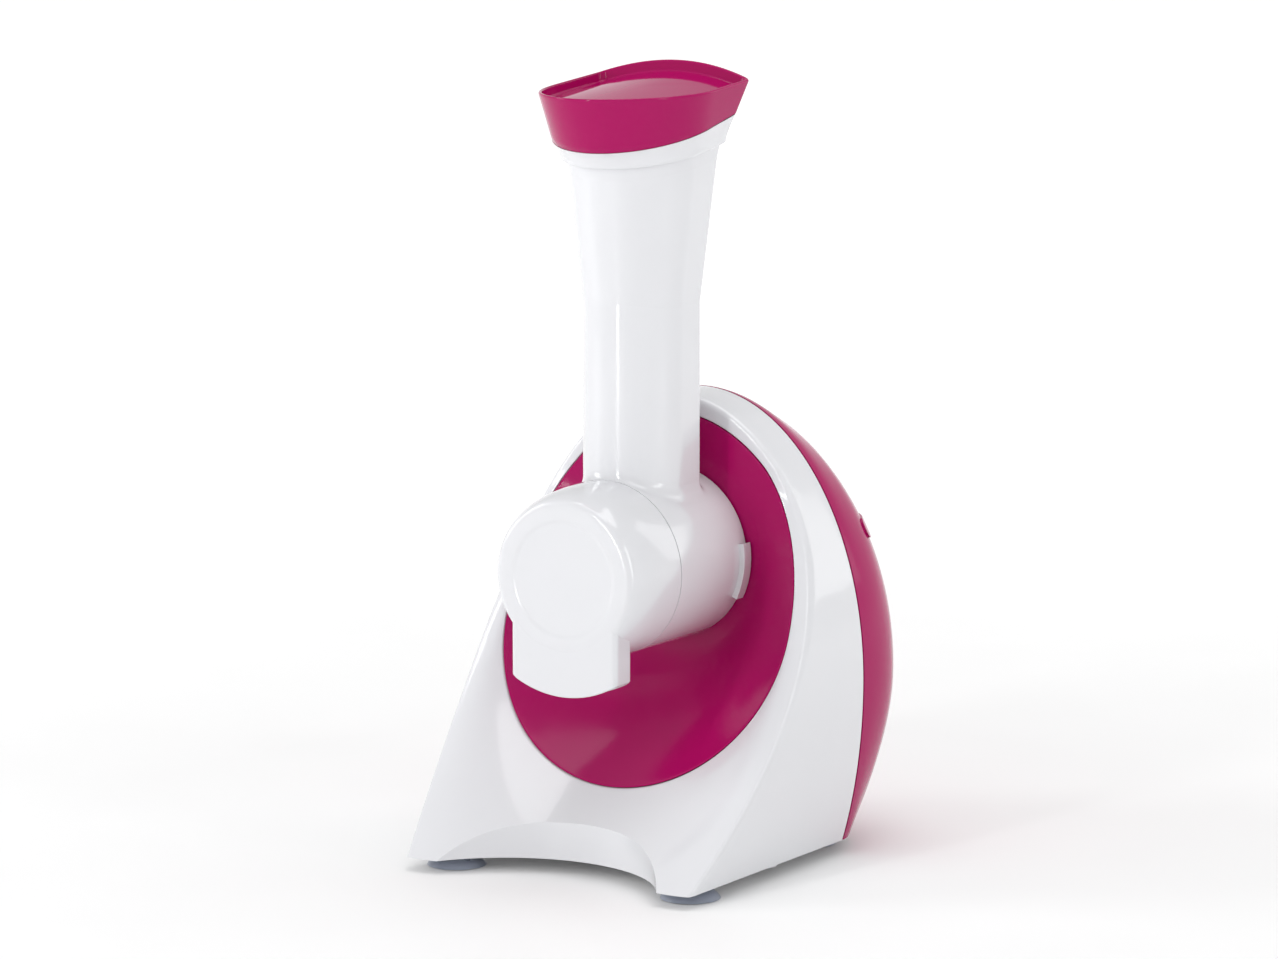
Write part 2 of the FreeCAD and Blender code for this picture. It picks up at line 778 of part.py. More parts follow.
def make_front_cap():
    """White cap: a domed shoulder, a slightly dished disc and a flat spout that points down."""
    axis = "axis_height"
    outside = revolved_solid("cap_outside", [
        ("0", "cap_front + cap_dish_depth"),
        ("cap_dish_radius", "cap_front + cap_dish_depth"),
        ("cap_dish_radius + 1.5", "cap_front"),
        ("cap_front_radius", "cap_front"),
        ("cap_front_radius + 2.2", "cap_front + 2.2"),
        ("barrel_radius - 1.6", "cap_front + 11"),
        ("barrel_radius - 0.4", "cap_front + 22"),
        ("barrel_radius", "barrel_front - gap"),
        ("0", "barrel_front - gap"),
    ], axis)
    reach = cylinder("spout_reach_round", "spout_reach", "spout_depth", ("0", "cap_front", axis), TO_Y)
    sides = box("spout_sides", "2 * spout_half_width", "spout_depth", "spout_reach",
                ("-spout_half_width", "cap_front", "axis_height - spout_reach"))
    spout = common("spout_outside", [reach, sides])
    whole = fuse("cap_with_spout", [outside, spout])
    inside = revolved_solid("cap_inside", [
        ("0", "cap_front + cap_wall + 1"),
        ("cap_front_radius - 2", "cap_front + cap_wall + 1"),
        ("barrel_radius - 4.5", "cap_front + 12"),
        ("barrel_radius - barrel_wall", "cap_front + 22"),
        ("barrel_radius - barrel_wall", "barrel_front + 5"),
        ("0", "barrel_front + 5"),
    ], axis)
    duct = box("spout_duct", "2 * (spout_half_width - spout_wall)", "spout_depth - 2 * spout_wall",
               "spout_reach", ("-(spout_half_width - spout_wall)", "cap_front + spout_wall",
                               "axis_height - spout_reach - 5"))
    hollow = fuse("cap_hollow", [inside, duct])
    node("front_cap", cut("front_cap_shell", whole, hollow))


def revolved_solid(name, corners, height):
    """A turned body about the barrel's axis that serves as one operand of a boolean."""
    body = revolved(name, "XY_Plane", corners, ("0", "0", height))
    nodes.remove(body)
    return body


def make_feet():
    """Four suction feet: a thin cup on the table and a neck that snaps into the base plate."""
    for kind in ("front", "rear"):
        for side, sign in (("left", "-"), ("right", "")):
            revolved(f"suction_foot_{kind}_{side}", "XZ_Plane", [
                ("0", "2.2"),
                ("foot_radius - 5", "0.9"),
                ("foot_radius - 2.6", "0"),
                ("foot_radius", "0"),
                ("foot_radius", "0.9"),
                ("foot_radius - 3.5", "2.8"),
                ("foot_stem_radius + 2.2", "housing_bottom - gap"),
                ("foot_neck_radius - 0.05", "housing_bottom - gap"),
                ("foot_neck_radius - 0.05", "housing_bottom + base_thickness + gap"),
                ("foot_stem_radius + 0.6", "housing_bottom + base_thickness + gap"),
                ("foot_neck_radius", "housing_bottom + base_thickness + 3"),
                ("0", "housing_bottom + base_thickness + 3"),
            ], (f"{sign}foot_{kind}_offset", f"foot_{kind}_station", "0"))


def make_drive_train_parts():
    """Shafts, bushes, gearbox and their fasteners."""
    axis = ("0", "shaft_front + 0.5", "axis_height")
    node("drive_shaft", cylinder("drive_shaft_rod", "shaft_radius - 0.01", "shaft_rear - shaft_front - 0.5",
                                 axis, TO_Y))
    tube("shaft_bush_front", "bearing_radius", "shaft_radius + running_fit", "gearbox_plate + 2",
         ("0", "gearbox_front - 1", "axis_height"), TO_Y)
    tube("shaft_bush_rear", "bearing_radius", "shaft_radius + running_fit", "gearbox_plate",
         ("0", "gearbox_rear", "axis_height"), TO_Y)
    tube("shaft_circlip", "shaft_radius + 1.6", "shaft_radius - 0.01", "1",
         ("0", "gearbox_rear + gearbox_plate + 0.5", "axis_height"), TO_Y)
    tube("shaft_seal", "bearing_radius + 2", "shaft_radius + running_fit", "3",
         ("0", "back_wall_station + gap", "axis_height"), TO_Y)


def make_gearbox():
    """Tray with both shaft bores, its cover, and the fixed pin of the intermediate gear."""
    mid_x, mid_z = gear_places()
    axis = size("axis_height")
    motor = size("motor_height")
    front = size("gearbox_front")
    rear = size("gearbox_rear")
    plate = size("gearbox_plate")
    half = size("gearbox_half_width")
    low, high = size("gearbox_low"), size("gearbox_high")
    tray = slab((-half + 8, front, low), (half, rear, high))
    tray = tray.cut(slab((-half + 11, front + plate, low + 3), (half - 3, rear + 1, high - 3)))
    pin_bore = along(size("pin_radius"), mid_x, mid_z, front - 1, rear + plate + 1)
    tray = tray.cut(along(size("bearing_radius"), 0, axis, front - 1, front + plate + 1)).cut(pin_bore)
    cover = slab((-half + 8, rear, low), (half, rear + plate, high))
    cover = cover.cut(along(size("bearing_radius"), 0, axis, rear - 1, rear + plate + 1)).cut(pin_bore)
    cover = cover.cut(along(size("motor_shaft_radius") + 1, 0, motor, rear - 1, rear + plate + 1))
    screws = []
    for x in (-half + 12.5, half - 4.5):
        for z in (low + 4.5, high - 4.5):
            corner = slab((x - 4.5, front + 1, z - 4.5), (x + 4.5, rear, z + 4.5))
            tray = tray.fuse(corner)
            tray = tray.cut(along(size("screw_radius"), x, z, rear - 12, rear + 1))
            cover = cover.cut(along(size("screw_radius") + 0.2, x, z, rear - 1, rear + plate + 1))
            screw = along(size("screw_radius"), x, z, rear - 11.5, rear + plate)
            head = along(size("screw_head_radius"), x, z, rear + plate, rear + plate + 2.2)
            screws.append(screw.fuse(head).removeSplitter())
    feature("gearbox_tray", tray.removeSplitter())
    feature("gearbox_cover", cover)
    feature("gearbox_screws", Part.makeCompound(screws))
    feature("intermediate_pin", along(size("pin_radius"), mid_x, mid_z, front, rear + plate))


def make_motor():
    """Open-frame universal motor behind the gearbox, its shaft parallel to the drive shaft."""
    height = size("motor_height")
    half = size("stator_half")
    front = size("stator_front")
    rear = front + size("stator_length")
    shaft = size("motor_shaft_radius")
    fit = size("running_fit")
    centre = ("0", "motor_shaft_front", "motor_height")
    node("motor_shaft", cylinder("motor_shaft_rod", "motor_shaft_radius",
                                 "motor_shaft_rear - motor_shaft_front", centre, TO_Y))
    stator = slab((-half, front, height - half), (half, rear, height + half))
    stator = stator.cut(along(size("stator_bore"), 0, height, front - 1, rear + 1))
    pockets = [slab((side * 24 - 3, front - 1, height - 16), (side * 24 + 3, rear + 1, height + 16))
               for side in (-1, 1)]
    for pocket in pockets:
        stator = stator.cut(pocket)
    feature("stator_core", stator)
    coils = []
    for side in (-1, 1):
        lead = slab((side * 24 - 2.8, front - 4.5, height - 15.8), (side * 24 + 2.8, rear + 4.5, height + 15.8))
        coils.append(lead)
    feature("field_coils", Part.makeCompound(coils))
    slots = along(size("core_radius"), 0, height, front + 0.5, rear - 0.5)
    slot_count = 12
    for slot in range(slot_count):
        angle = 2 * math.pi * slot / slot_count
        x = size("coil_radius") * math.cos(angle)
        z = height + size("coil_radius") * math.sin(angle)
        slots = slots.cut(along(1.7, x, z, front, rear))
    feature("armature_core", slots.cut(along(shaft, 0, height, front, rear)))
    ends = [along(size("coil_radius"), 0, height, start, start + 5.2).cut(along(shaft, 0, height, 40, 100))
            for start in (front - 4.9, rear - 0.3)]
    wires = []
    for slot in range(slot_count):
        angle = 2 * math.pi * slot / slot_count
        wires.append(along(1.5, size("coil_radius") * math.cos(angle),
                           height + size("coil_radius") * math.sin(angle), front - 4.9, rear + 4.9))
    winding = ends[0].fuse([ends[1]] + wires)
    core_space = along(size("coil_radius") - 1.9, 0, height, front + 0.5, rear - 0.5)
    feature("armature_winding", winding.cut(core_space).removeSplitter())
    segments = along(size("commutator_radius"), 0, height, size("commutator_front"),
                     size("commutator_front") + size("commutator_length"))
    segments = segments.cut(along(shaft, 0, height, 80, 100))
    feature("commutator", segments)
    brushes = []
    holders = []
    middle = size("commutator_front") + size("commutator_length") / 2
    for side in (-1, 1):
        inner = side * (size("commutator_radius") + 0.15)
        outer = side * 22.0
        low_x, high_x = sorted((inner, outer))
        brush = slab((low_x, middle - 2.5, height - 2.5), (high_x, middle + 2.5, height + 2.5))
        brushes.append(brush)
        low_x, high_x = sorted((side * 12.0, side * 24.0))
        holder = slab((low_x, middle - 4, height - 4), (high_x, middle + 4, height + 4))
        holders.append(holder.cut(slab((-24, middle - 2.5, height - 2.5), (24, middle + 2.5, height + 2.5))))
    feature("carbon_brushes", Part.makeCompound(brushes))
    feature("brush_holders", Part.makeCompound(holders))
    hub = along(8, 0, height, size("fan_front"), size("fan_front") + size("fan_width"))
    vanes = 8
    for vane in range(vanes):
        blade = Part.makeBox(size("fan_radius") - 6, 1.2, size("fan_width"), Vector(6, -0.6, 0))
        blade.Placement = Placement(Vector(0, size("fan_front"), height),
                                    Rotation(Vector(0, -1, 0), 360 * vane / vanes) * TO_Y)
        hub = hub.fuse(blade)
    hub = hub.fuse(along(size("fan_radius"), 0, height, size("fan_front"), size("fan_front") + 1))
    feature("cooling_fan", hub.cut(along(shaft, 0, height, 40, 60)).removeSplitter())
    for place_name, start in (("front", size("gearbox_rear") + size("gearbox_plate") + 0.3), ("rear", 94.6)):
        strap = slab((-half, start, height - 11), (half, start + 3, height + 11))
        strap = strap.fuse(along(11, 0, height, start, start + 4.2))
        strap = strap.cut(along(size("bearing_radius") - 1, 0, height, start - 1, start + 6))
        feature(f"motor_bracket_{place_name}", strap.removeSplitter())
        bush = along(size("bearing_radius") - 1, 0, height, start, start + 4.2)
        feature(f"motor_bush_{place_name}", bush.cut(along(shaft + fit, 0, height, start - 1, start + 6)))
    bolts = []
    for side in (-1, 1):
        x = side * (half - 1.6)
        start = size("gearbox_rear") + size("gearbox_plate") + 3.3
        bolts.append(along(1.2, x, height, start, front))
        bolts.append(along(1.2, x, height, rear, 94.6))
    feature("motor_spacers", Part.makeCompound(bolts))
    floor = size("housing_bottom") + size("base_thickness")
    cradle = slab((-half, front + 2, floor), (half, rear - 6, height - half))
    cradle = cradle.cut(slab((-half + 4, front, floor + 3), (half - 4, rear, height - half - 3)))
    feature("motor_cradle", cradle)


def make_electrics():
    """Push switch with its module, terminal block, capacitor and the cord's gland."""
    button = switch_outline(0.0, 20).common(rear_block(-size("switch_proud"))).cut(rear_block(size("wall") + 1.5))
    feature("power_switch", button.removeSplitter())
    module = Part.makeBox(14, 18, 12, Vector(-29, -9, -6))
    module.Placement = switch_frame()
    feature("switch_module", module)
    floor = size("housing_bottom") + size("base_thickness")
    feature("terminal_block", slab((-14, 8, floor), (14, 20, floor + 12)))
    feature("suppression_capacitor", slab((-60, 4, floor), (-34, 20, floor + 18)))
    tube("cord_gland", "gland_radius", "gland_bore", "gland_outer - gland_inner",
         ("0", "gland_inner", "gland_height"), TO_Y)


def make_housing_screws():
    """Four screws from below, through the base plate into the shells' posts."""
    low = size("housing_bottom")
    screws = []
    for kind in ("front", "rear"):
        shanks = screw_posts(kind, low, low + size("screw_length"), size("screw_radius") - 0.2)
        heads = screw_posts(kind, low - 2.0, low, size("screw_head_radius"))
        screws += [shank.fuse(head).removeSplitter() for shank, head in zip(shanks, heads)]
    feature("housing_screws", Part.makeCompound(screws))


def make_bayonet_hub():
    """The spigot that the barrel turns on, with a flange behind the panel's flat ring."""
    axis = size("axis_height")
    hub = size("hub_station")
    bore = size("barrel_radius") - size("barrel_wall")
    spigot = along(bore - 0.5, 0, axis, hub - 11, hub).cut(along(bore - 3.5, 0, axis, hub - 12, hub + 1))
    feature("bayonet_hub", spigot)


def build():
    feature("front_housing", make_front_housing())
    feature("rear_housing", make_rear_housing())
    feature("front_panel", make_front_panel())
    feature("base_plate", make_base_plate())
    feature("feed_chamber", make_feed_chamber())
    feature("pusher_body", make_pusher_body())
    feature("pusher_cap", make_pusher_cap())
    make_front_cap()
    make_rotor()
    make_gears()
    make_bayonet_hub()
    make_feet()
    make_drive_train_parts()
    make_gearbox()
    make_motor()
    make_electrics()
    make_housing_screws()


def write_parts():
    """Recompute, check every object and write each sub-part's solids."""
    doc.recompute()
    for obj in doc.Objects:
        if "Invalid" in obj.State or "Error" in obj.State:
            raise RuntimeError(f"{obj.Label} did not recompute: {obj.State}")
    os.makedirs("parts", exist_ok=True)
    for obj in nodes:
        shape = obj.Shape
        if shape.isNull() or not shape.isValid() or not shape.Solids:
            raise RuntimeError(f"{obj.Label} has no valid shape")
        if obj.TypeId == "Part::Feature" and len(shape.Solids) == 1:
            shape = shape.Solids[0]
        shape.exportStep(f"parts/{obj.Label}.step")
        box = shape.optimalBoundingBox(False, False)
        print(f"{obj.Label:26s} {len(shape.Solids)} solid(s) {shape.Volume:10.0f} mm3  "
              f"x {box.XMin:.1f}..{box.XMax:.1f}  y {box.YMin:.1f}..{box.YMax:.1f}  z {box.ZMin:.1f}..{box.ZMax:.1f}")


build()
write_parts()
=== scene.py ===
import json
import math

import bmesh
import bpy
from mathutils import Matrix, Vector

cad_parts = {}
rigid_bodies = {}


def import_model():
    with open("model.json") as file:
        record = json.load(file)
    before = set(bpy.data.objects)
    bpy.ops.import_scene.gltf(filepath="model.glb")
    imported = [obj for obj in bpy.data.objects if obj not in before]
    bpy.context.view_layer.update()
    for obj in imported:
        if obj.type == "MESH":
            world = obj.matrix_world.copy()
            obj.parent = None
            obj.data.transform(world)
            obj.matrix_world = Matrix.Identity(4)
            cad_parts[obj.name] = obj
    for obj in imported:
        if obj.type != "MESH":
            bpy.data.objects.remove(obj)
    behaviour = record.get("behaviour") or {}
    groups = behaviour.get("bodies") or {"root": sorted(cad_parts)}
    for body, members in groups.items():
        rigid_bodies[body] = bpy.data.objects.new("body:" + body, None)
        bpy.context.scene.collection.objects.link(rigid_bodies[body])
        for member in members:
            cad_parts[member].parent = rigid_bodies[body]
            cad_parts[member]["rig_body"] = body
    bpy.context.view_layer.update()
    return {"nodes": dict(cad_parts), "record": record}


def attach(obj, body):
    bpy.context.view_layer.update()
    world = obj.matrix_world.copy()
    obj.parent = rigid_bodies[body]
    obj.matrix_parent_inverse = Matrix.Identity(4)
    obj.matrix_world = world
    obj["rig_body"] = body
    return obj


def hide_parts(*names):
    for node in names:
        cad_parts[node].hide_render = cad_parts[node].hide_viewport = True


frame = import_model()

MM = 0.001
X, Y, Z = Vector((1.0, 0.0, 0.0)), Vector((0.0, 1.0, 0.0)), Vector((0.0, 0.0, 1.0))

# Places and sizes in millimetres, in the frame's own axes. A station is a Y coordinate, and the
# front is at negative Y.
AXIS_Z = 142.0            # height of the barrel's axis
WALL = 2.5                # thickness of the shells
EGG_WIDTH, EGG_Z, EGG_RISE, EGG_DROP = 88.6, 83.0, 134.0, 160.0      # outline of the housing
OVAL_WIDTH, OVAL_Z, OVAL_RISE, OVAL_DROP = 77.5, 110.0, 98.0, 72.0   # opening in its front face
SEAM_Y = 36.0             # where the front shell ends
SHELL_BOTTOM = 6.0
BAY_RADIUS, BAY_Y = 70.0, -139.0                                     # round bay for the bowl
HUB_Y, HUB_RADIUS, HUB_HOLE = 8.6, 47.0, 20.0                        # flat ring round the hub
RIDGE_SWEEP, RIDGE_TOP, RIDGE_BEND = 118.0, 190.0, 1.85              # how the ridge comes forward
EDGE_SWEEP, EDGE_TOP, EDGE_BEND = 77.0, 185.0, 1.25                  # how the opening's edge does
BARREL_RADIUS = 41.0
CAP_FRONT = -87.5
D_CENTRE = -23.0          # station where the D's half ellipse meets its box
CHUTE_HALF, CHUTE_REAR, CHUTE_FRONT = 25.1, 16.7, 25.6               # the chute's D at the barrel
CUT_LOW, CUT_HIGH = -200.0, 400.0                                    # past everything, for cuts

SLOTS = {part["node"]: part["material_slot"] for part in frame["record"]["subparts"]}
BODY_OF = {node: obj["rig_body"] for node, obj in frame["nodes"].items()}


# ---------------------------------------------------------------- materials

def add_link(owner, source, output, target, socket):
    """Joins one node's output to another node's input."""
    owner.node_tree.links.new(source.outputs[output], target.inputs[socket])


def surface(name, colour, roughness, mottle=0.03, grain=900.0, bump=0.01, coat=0.0, metal=0.0, **extra):
    """A material whose colour and roughness drift a little and whose surface has a fine grain."""
    material = bpy.data.materials.new(name)
    material.use_nodes = True
    nodes = material.node_tree.nodes
    shader = nodes["Principled BSDF"]
    shader.inputs["Metallic"].default_value = metal
    shader.inputs["Coat Weight"].default_value = coat
    shader.inputs["Coat Roughness"].default_value = 0.04
    for socket, value in extra.items():
        shader.inputs[socket.replace("_", " ")].default_value = value
    place = nodes.new("ShaderNodeTexCoord")
    drift = nodes.new("ShaderNodeTexNoise")
    drift.inputs["Scale"].default_value = 14.0
    drift.inputs["Detail"].default_value = 3.0
    add_link(material, place, "Object", drift, "Vector")
    tint = nodes.new("ShaderNodeMix")
    tint.data_type = "RGBA"
    tint.inputs["A"].default_value = (*[part * (1.0 - mottle) for part in colour], 1.0)
    tint.inputs["B"].default_value = (*[min(1.0, part * (1.0 + mottle)) for part in colour], 1.0)
    add_link(material, drift, "Fac", tint, "Factor")
    material.node_tree.links.new(tint.outputs["Result"], shader.inputs["Base Color"])
    polish = nodes.new("ShaderNodeMapRange")
    polish.inputs["To Min"].default_value = roughness * 0.8
    polish.inputs["To Max"].default_value = roughness * 1.2
    add_link(material, drift, "Fac", polish, "Value")
    add_link(material, polish, "Result", shader, "Roughness")
    fine = nodes.new("ShaderNodeTexNoise")
    fine.inputs["Scale"].default_value = grain
    fine.inputs["Detail"].default_value = 2.0
    add_link(material, place, "Object", fine, "Vector")
    relief = nodes.new("ShaderNodeBump")
    relief.inputs["Strength"].default_value = bump
    relief.inputs["Distance"].default_value = 0.0005
    add_link(material, fine, "Fac", relief, "Height")
    add_link(material, relief, "Normal", shader, "Normal")
    return material


WHITE = (0.71, 0.715, 0.74)
MAGENTA = (0.37, 0.003, 0.1)
PALE = (0.62, 0.62, 0.63)
STEEL = (0.56, 0.56, 0.58)

MATERIALS = {
    "white_shell": surface("white_shell", WHITE, 0.16, 0.01, coat=0.5),
    "white_chamber": surface("white_chamber", WHITE, 0.13, 0.01, coat=0.6),
    "white_cap": surface("white_cap", WHITE, 0.15, 0.01, coat=0.5),
    "white_pusher": surface("white_pusher", WHITE, 0.13, 0.01, coat=0.6),
    "white_rotor": surface("white_rotor", WHITE, 0.3, 0.01),
    "magenta_shell": surface("magenta_shell", MAGENTA, 0.12, 0.03, Specular_IOR_Level=0.12),
    "magenta_panel": surface("magenta_panel", MAGENTA, 0.13, 0.03, Specular_IOR_Level=0.16),
    "magenta_cap": surface("magenta_cap", MAGENTA, 0.07, 0.03, Specular_IOR_Level=0.18),
    "base_white": surface("base_white", PALE, 0.45, 0.02, 300.0, 0.08),
    "blade_steel": surface("blade_steel", STEEL, 0.25, 0.03, 600.0, 0.05, metal=1.0),
    "gear_plastic": surface("gear_plastic", (0.72, 0.68, 0.58), 0.4, 0.04, 400.0, 0.05),
    "gear_steel": surface("gear_steel", STEEL, 0.3, 0.04, 600.0, 0.06, metal=1.0),
    "foot_rubber": surface("foot_rubber", (0.42, 0.46, 0.56), 0.28, 0.05, 200.0, 0.05,
                           Transmission_Weight=0.45, IOR=1.42),
    "shaft_steel": surface("shaft_steel", STEEL, 0.22, 0.03, 600.0, 0.04, metal=1.0),
    "bush_brass": surface("bush_brass", (0.6, 0.42, 0.16), 0.4, 0.06, 500.0, 0.1, metal=1.0),
    "seal_rubber": surface("seal_rubber", (0.03, 0.03, 0.03), 0.6, 0.05, 300.0, 0.1),
    "black_plastic": surface("black_plastic", (0.02, 0.02, 0.022), 0.45, 0.05, 300.0, 0.1),
    "screw_steel": surface("screw_steel", STEEL, 0.35, 0.04, 600.0, 0.05, metal=1.0),
    "lamination_steel": surface("lamination_steel", (0.12, 0.12, 0.13), 0.5, 0.08, 300.0, 0.15, metal=0.8),
    "copper_coil": surface("copper_coil", (0.5, 0.19, 0.06), 0.35, 0.08, 500.0, 0.25, metal=0.8),
    "carbon": surface("carbon", (0.02, 0.02, 0.02), 0.55, 0.1, 400.0, 0.2),
    "capacitor_yellow": surface("capacitor_yellow", (0.7, 0.48, 0.06), 0.4, 0.03, 300.0, 0.04),
    "gland_rubber": surface("gland_rubber", PALE, 0.5, 0.03, 300.0, 0.06),
}

for node_name, node_object in frame["nodes"].items():
    node_object.data.materials.clear()
    node_object.data.materials.append(MATERIALS[SLOTS[node_name]])


# ---------------------------------------------------------------- outline formulas, in millimetres

def egg(angle, inset=0.0):
    """A point (x, z) of the housing's outline."""
    rise = EGG_RISE if math.sin(angle) >= 0 else EGG_DROP
    return (EGG_WIDTH - inset) * math.cos(angle), EGG_Z + (rise - inset) * math.sin(angle)


def oval(angle, inset=0.0):
    """A point (x, z) of the opening in the front face."""
    rise = OVAL_RISE if math.sin(angle) >= 0 else OVAL_DROP
    return (OVAL_WIDTH - inset) * math.cos(angle), OVAL_Z + (rise - inset) * math.sin(angle)


def ridge_station(height):
    """The station of the ridge between side wall and front face."""
    return HUB_Y - RIDGE_SWEEP * max(0.0, 1.0 - height / RIDGE_TOP) ** RIDGE_BEND


def edge_station(height):
    """The station of the edge of the opening in the front face."""
    return HUB_Y - EDGE_SWEEP * max(0.0, 1.0 - height / EDGE_TOP) ** EDGE_BEND


def turn(count):
    """Evenly spaced angles of one turn."""
    return [2.0 * math.pi * step / count for step in range(count)]


def mixed(a, b, share):
    """The value a share of the way from a to b."""
    return a + (b - a) * share


def rounded(start, corner, end, count):
    """Points of a smooth curve from start to end that is drawn towards the corner."""
    points = []
    for step in range(count + 1):
        share = step / count
        near = start.lerp(corner, share)
        far = corner.lerp(end, share)
        points.append(near.lerp(far, share))
    return points


# ---------------------------------------------------------------- meshes

def add_object(name, data):
    """A new object in the scene."""
    obj = bpy.data.objects.new(name, data)
    bpy.context.scene.collection.objects.link(obj)
    return obj


def add_mesh(name, build):
    """A new object with the mesh that has been built."""
    mesh = bpy.data.meshes.new(name)
    build.to_mesh(mesh)
    build.free()
    return add_object(name, mesh)


def soften(mesh, angle):
    """Smooth shading with sharp edges where faces meet at more than the angle."""
    for polygon in mesh.polygons:
        polygon.use_smooth = True
    build = bmesh.new()
    build.from_mesh(mesh)
    limit = math.radians(angle)
    for edge in build.edges:
        edge.smooth = len(edge.link_faces) != 2 or edge.calc_face_angle(0.0) < limit
    build.to_mesh(mesh)
    build.free()


def grid(name, columns, closed=True, smooth_angle=40.0):
    """A mesh from a ring of columns of points; open columns leave a hole at each end, then filled."""
    build = bmesh.new()
    verts = [[build.verts.new(point * MM) for point in column] for column in columns]
    total = len(columns)
    length = len(columns[0])
    for index in range(total):
        here, there = verts[index], verts[(index + 1) % total]
        for step in range(length if closed else length - 1):
            after = (step + 1) % length
            build.faces.new((here[step], here[after], there[after], there[step]))
    bmesh.ops.remove_doubles(build, verts=build.verts, dist=0.000002)
    if not closed:
        bmesh.ops.holes_fill(build, edges=build.edges, sides=0)
    bmesh.ops.recalc_face_normals(build, faces=build.faces)
    obj = add_mesh(name, build)
    soften(obj.data, smooth_angle)
    return obj


def turned(name, profile, centre, side, along, count, smooth_angle):
    """A turned shape: the profile holds (radius, distance along the axis) pairs and is closed."""
    columns = []
    for angle in turn(count):
        out = X * math.cos(angle) + side * math.sin(angle)
        columns.append([centre + out * radius + along * distance for radius, distance in profile])
    return grid(name, columns, smooth_angle=smooth_angle)


def block(name, low, high):
    """A box between two corners."""
    build = bmesh.new()
    bmesh.ops.create_cube(build, size=1.0)
    for vert in build.verts:
        for axis in range(3):
            vert.co[axis] = MM * (high[axis] if vert.co[axis] > 0 else low[axis])
    return add_mesh(name, build)


def post(name, radius, station, low, high):
    """An upright cylinder between two heights."""
    build = bmesh.new()
    bmesh.ops.create_cone(build, cap_ends=True, segments=240, radius1=radius * MM, radius2=radius * MM,
                          depth=(high - low) * MM)
    for vert in build.verts:
        vert.co += Vector((0.0, station, (low + high) / 2)) * MM
    return add_mesh(name, build)


def carve(obj, *tools):
    """Subtracts the tools from the object's mesh and removes them."""
    for tool in tools:
        modifier = obj.modifiers.new("cut", "BOOLEAN")
        modifier.operation = "DIFFERENCE"
        modifier.solver = "EXACT"
        modifier.object = tool
    graph = bpy.context.evaluated_depsgraph_get()
    mesh = bpy.data.meshes.new_from_object(obj.evaluated_get(graph))
    obj.modifiers.clear()
    obj.data = mesh
    for tool in tools:
        bpy.data.objects.remove(tool)


def finish_piece(obj, node, stands=True):
    """Gives a piece the material and the body of a CAD node, which it stands for or adds to."""
    slot = SLOTS[node]
    obj.data.materials.clear()
    obj.data.materials.append(MATERIALS[slot])
    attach(obj, BODY_OF[node])
    if stands:
        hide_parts(node)


# ---------------------------------------------------------------- front shell

SEAM_ROUND = (1.0, 1.6)   # rounding of the edge at the seam, inwards and forwards
RIDGE_ROUND = 6.0         # rounding of the ridge between side wall and front face
EDGE_ROUND = 1.2          # rounding of the edge of the opening
FACE_DEPTH = 3.2          # thickness of the front face along Y


def shell_column(angle):
    """The closed section of the front shell's outer block at one outline angle."""
    x, z = egg(angle)
    x_in, z_in = egg(angle, SEAM_ROUND[0])
    ridge = Vector((x, ridge_station(z), z))
    px, pz = oval(angle)
    edge = Vector((px, edge_station(pz), pz))
    across = edge - ridge
    radius = min(RIDGE_ROUND, 0.42 * across.length)
    side = min(radius, SEAM_Y - 3.0 - ridge.y)
    inward = across.normalized()
    seam = SEAM_Y - SEAM_ROUND[1]
    column = rounded(Vector((x_in, SEAM_Y, z_in)), Vector((x, SEAM_Y, z)), Vector((x, seam, z)), 4)
    column += [Vector((x, mixed(seam, ridge.y + side, step / 4), z)) for step in range(1, 4)]
    column += rounded(ridge + Y * side, ridge, ridge + inward * radius, 10)
    start = ridge + inward * radius
    stop = edge - inward * EDGE_ROUND
    column += [start.lerp(stop, step / 5) for step in range(1, 5)]
    column += rounded(stop, edge, edge + Y * EDGE_ROUND, 4)
    column.append(Vector((px, SEAM_Y, pz)))
    return column


def hollow_column(angle):
    """The closed section of the front shell's hollow, one wall in from the block."""
    x, z = egg(angle, WALL)
    px, pz = oval(angle, -WALL)
    behind = SEAM_Y + 4.0
    ridge = Vector((x, ridge_station(z) + FACE_DEPTH, z))
    edge = Vector((px, edge_station(pz) + FACE_DEPTH, pz))
    return [Vector((x, behind, z)), ridge, edge, Vector((px, behind, pz))]


shell = grid("front_shell", [shell_column(angle) for angle in turn(320)])
hollow = grid("front_hollow", [hollow_column(angle) for angle in turn(320)])
carve(hollow, post("bay_back", BAY_RADIUS + WALL, BAY_Y, CUT_LOW, CUT_HIGH))
bay = post("bay", BAY_RADIUS, BAY_Y, CUT_LOW, CUT_HIGH)
under = block("under", (-200.0, -300.0, CUT_LOW), (200.0, 200.0, SHELL_BOTTOM))
carve(shell, bay, under, hollow)
soften(shell.data, 32.0)
finish_piece(shell, "front_housing")


# ---------------------------------------------------------------- magenta dish

DISH_GAP = 0.3            # clearance between the dish and the opening
DISH_LIP = 0.022          # share of the dish that its rounded outer edge takes
DISH_BEND = 1.7           # power of the dish's curve


def dish_point(angle, step, lift=0.0):
    """A point of the dish, step 0 at the opening's edge and 1 at the hub's flat ring."""
    x, z = oval(angle, DISH_GAP)
    station = edge_station(oval(angle, 0.0)[1])
    back = 1.0 - (1.0 - step) ** DISH_BEND
    hub_x = HUB_RADIUS * math.cos(angle)
    hub_z = AXIS_Z + HUB_RADIUS * math.sin(angle)
    return Vector((mixed(x, hub_x, step), mixed(station, HUB_Y, back) + lift, mixed(z, hub_z, step)))


def hub_point(angle, radius, lift=0.0):
    """A point of the flat ring round the hub."""
    return Vector((radius * math.cos(angle), HUB_Y + lift, AXIS_Z + radius * math.sin(angle)))


